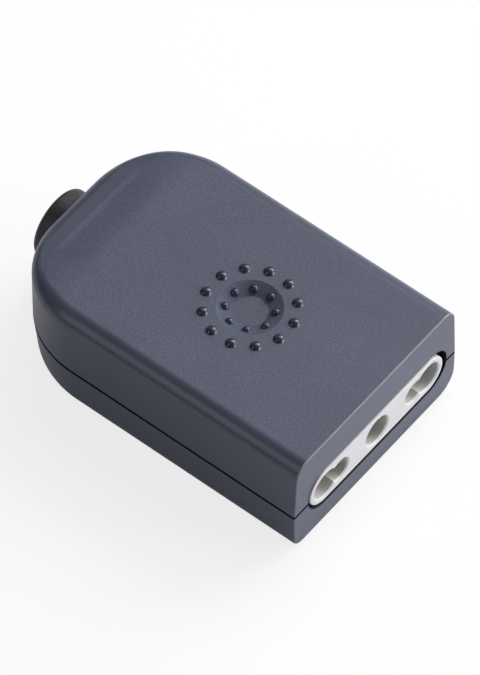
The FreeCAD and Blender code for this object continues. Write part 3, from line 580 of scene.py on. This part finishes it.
def add_screw(skin, x, y, seat, length, up):
    """One slotted screw with a cut thread; its head sits on the seat, above it or below it."""
    turn = 1 if up else -1

    def spot(radius, angle, height):
        return (x + radius * math.cos(angle), y + turn * radius * math.sin(angle), seat + turn * height)

    around = [index * math.tau / HEAD_STEPS for index in range(HEAD_STEPS)]
    slot_floor = HEAD_HEIGHT - SLOT_DEPTH
    skin.cover([[spot(HEAD_RADIUS - HEAD_CHAMFER, angle, 0) for angle in around],
                [spot(HEAD_RADIUS, angle, HEAD_CHAMFER) for angle in around],
                [spot(HEAD_RADIUS, angle, slot_floor) for angle in around]])
    rim = [(HEAD_RADIUS, slot_floor)]
    for index in range(HEAD_RIM_STEPS + 1):
        bend = index / HEAD_RIM_STEPS * math.pi / 2
        rim.append((HEAD_RADIUS - HEAD_RIM * (1 - math.cos(bend)),
                    HEAD_HEIGHT - HEAD_RIM * (1 - math.sin(bend))))
    for side in (0, math.pi):
        loops = []
        for radius, height in rim:
            edge = math.asin(SLOT_WIDTH / 2 / radius)
            sweep = math.pi - 2 * edge
            loops.append([spot(radius, side + edge + index / (HEAD_STEPS // 2) * sweep, height)
                          for index in range(HEAD_STEPS // 2 + 1)])
        skin.cover(loops)
    rows = round(length / THREAD_PITCH * THREAD_ROWS_PER_PITCH)
    loops = []
    for row in range(rows + 1):
        height = row / rows * length - length
        loop = []
        for index in range(THREAD_STEPS_PER_TURN):
            part = index / THREAD_STEPS_PER_TURN
            phase = (height / THREAD_PITCH - part) % 1.0
            groove = THREAD_DEPTH * abs(2 * phase - 1)
            point = max(0.0, THREAD_POINT - (height + length))
            loop.append(spot(SHANK_RADIUS - max(groove, point), part * math.tau, height))
        loops.append(loop)
    skin.cover(loops)


def screws(name, node, count, up):
    """A row of screws of one kind, at the places of their CAD node."""
    low, high = box_mm(node)
    seat = high.z - HEAD_HEIGHT if up else low.z + HEAD_HEIGHT
    length = seat - low.z if up else high.z - seat
    left = low.x + HEAD_RADIUS
    right = high.x - HEAD_RADIUS
    skin = Skin()
    for index in range(count):
        add_screw(skin, left + index / (count - 1) * (right - left), (low.y + high.y) / 2, seat, length, up)
    piece = mesh_piece(name, skin.mesh(name, SCREW_SHARP_DEG), "screw_steel", "housing")
    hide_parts(node)


coil_springs()
screws("terminal_screws_cut", "terminal_screws", 3, True)
screws("clamp_screws_cut", "clamp_screws", 2, True)
screws("housing_screws_cut", "housing_screws", 2, False)


def place_camera():
    """Camera with the photograph's angle, roll and focal length."""
    azimuth = math.radians(CAMERA_AZIMUTH_DEG)
    elevation = math.radians(CAMERA_ELEVATION_DEG)
    roll = math.radians(CAMERA_ROLL_DEG)
    back = Vector((math.sin(azimuth) * math.cos(elevation), -math.cos(azimuth) * math.cos(elevation),
                   math.sin(elevation)))
    level = Vector((0, 0, 1)).cross(back).normalized()
    upward = back.cross(level)
    right = level * math.cos(roll) + upward * math.sin(roll)
    up = upward * math.cos(roll) - level * math.sin(roll)
    data = bpy.data.cameras.new("photo_camera")
    data.sensor_fit = "VERTICAL"
    data.sensor_height = SENSOR_HEIGHT
    data.lens = FOCAL_LENGTH_PX / IMAGE_HEIGHT_PX * SENSOR_HEIGHT
    data.clip_end = CLIP_END_M
    camera = bpy.data.objects.new("photo_camera", data)
    bpy.context.collection.objects.link(camera)
    turn = Matrix((right, up, back)).transposed().to_4x4()
    camera.matrix_world = Matrix.Translation((Vector(CAMERA_TARGET) + back * CAMERA_DISTANCE) * MM) @ turn
    bpy.context.scene.camera = camera


def place_lamps():
    """Soft rectangular lamps that face the middle of the part."""
    target = Vector(LAMP_TARGET) * MM
    for name, (direction, distance, width, height, power) in STUDIO.items():
        data = bpy.data.lights.new(name, "AREA")
        data.shape = "RECTANGLE"
        data.size = width * MM
        data.size_y = height * MM
        data.energy = power
        lamp = bpy.data.objects.new(name, data)
        bpy.context.collection.objects.link(lamp)
        away = Vector(direction).normalized()
        lamp.matrix_world = (Matrix.Translation(target + away * distance * MM)
                             @ away.to_track_quat("Z", "Y").to_matrix().to_4x4())


def make_world():
    """Dim even fill, and plain white where the camera looks past the floor."""
    world = bpy.data.worlds.new("studio_world")
    world.use_nodes = True
    tree = world.node_tree
    tree.nodes.clear()
    path = add(tree, "LightPath").outputs
    seen = add(tree, "Math", {0: path["Is Camera Ray"], 1: path["Is Transmission Ray"]}, operation="MAXIMUM")
    fill = add(tree, "Background", {"Color": linear("#ffffff"), "Strength": WORLD_STRENGTH})
    white = add(tree, "Background", {"Color": linear("#ffffff"), "Strength": 1.0})
    blend = add(tree, "MixShader", {0: seen.outputs[0], 1: fill.outputs[0], 2: white.outputs[0]})
    add(tree, "OutputWorld", {"Surface": blend.outputs[0]})
    bpy.context.scene.world = world


def make_floor():
    """Plain white floor that keeps the shadow, lifted to white for the camera and less in reflections."""
    material = bpy.data.materials.new("floor_matt_white")
    material.use_nodes = True
    tree = material.node_tree
    tree.nodes.clear()
    path = add(tree, "LightPath").outputs
    mirrored = add(tree, "Math", {0: path["Is Glossy Ray"], 1: path["Is Transmission Ray"]},
                   operation="MAXIMUM")
    faint = add(tree, "Math", {0: mirrored.outputs[0], 1: FLOOR_LIFT_IN_REFLECTIONS}, operation="MULTIPLY")
    strength = add(tree, "Math", {0: path["Is Camera Ray"], 1: FLOOR_LIFT, 2: faint.outputs[0]},
                   operation="MULTIPLY_ADD")
    shade = add(tree, "ValToRGB", {"Fac": path["Is Camera Ray"]},
                ramp=((0.0, "#e4e4e4"), (1.0, "#8c8c8c"))).outputs["Color"]
    plain = add(tree, "BsdfDiffuse", {"Color": shade})
    lift = add(tree, "Emission", {"Color": linear("#ffffff"), "Strength": strength.outputs[0]})
    bright = add(tree, "AddShader", {0: plain.outputs[0], 1: lift.outputs[0]})
    add(tree, "OutputMaterial", {"Surface": bright.outputs[0]})
    mesh = bpy.data.meshes.new("floor")
    half = FLOOR_SIZE / 2 * MM
    level = -FLOOR_DROP * MM
    corners = [(-half, -half, level), (half, -half, level), (half, half, level), (-half, half, level)]
    mesh.from_pydata(corners, [], [(0, 1, 2, 3)])
    mesh.materials.append(material)
    floor = bpy.data.objects.new("floor", mesh)
    bpy.context.collection.objects.link(floor)


place_camera()
place_lamps()
make_world()
make_floor()
bpy.context.scene.view_settings.view_transform = "Standard"
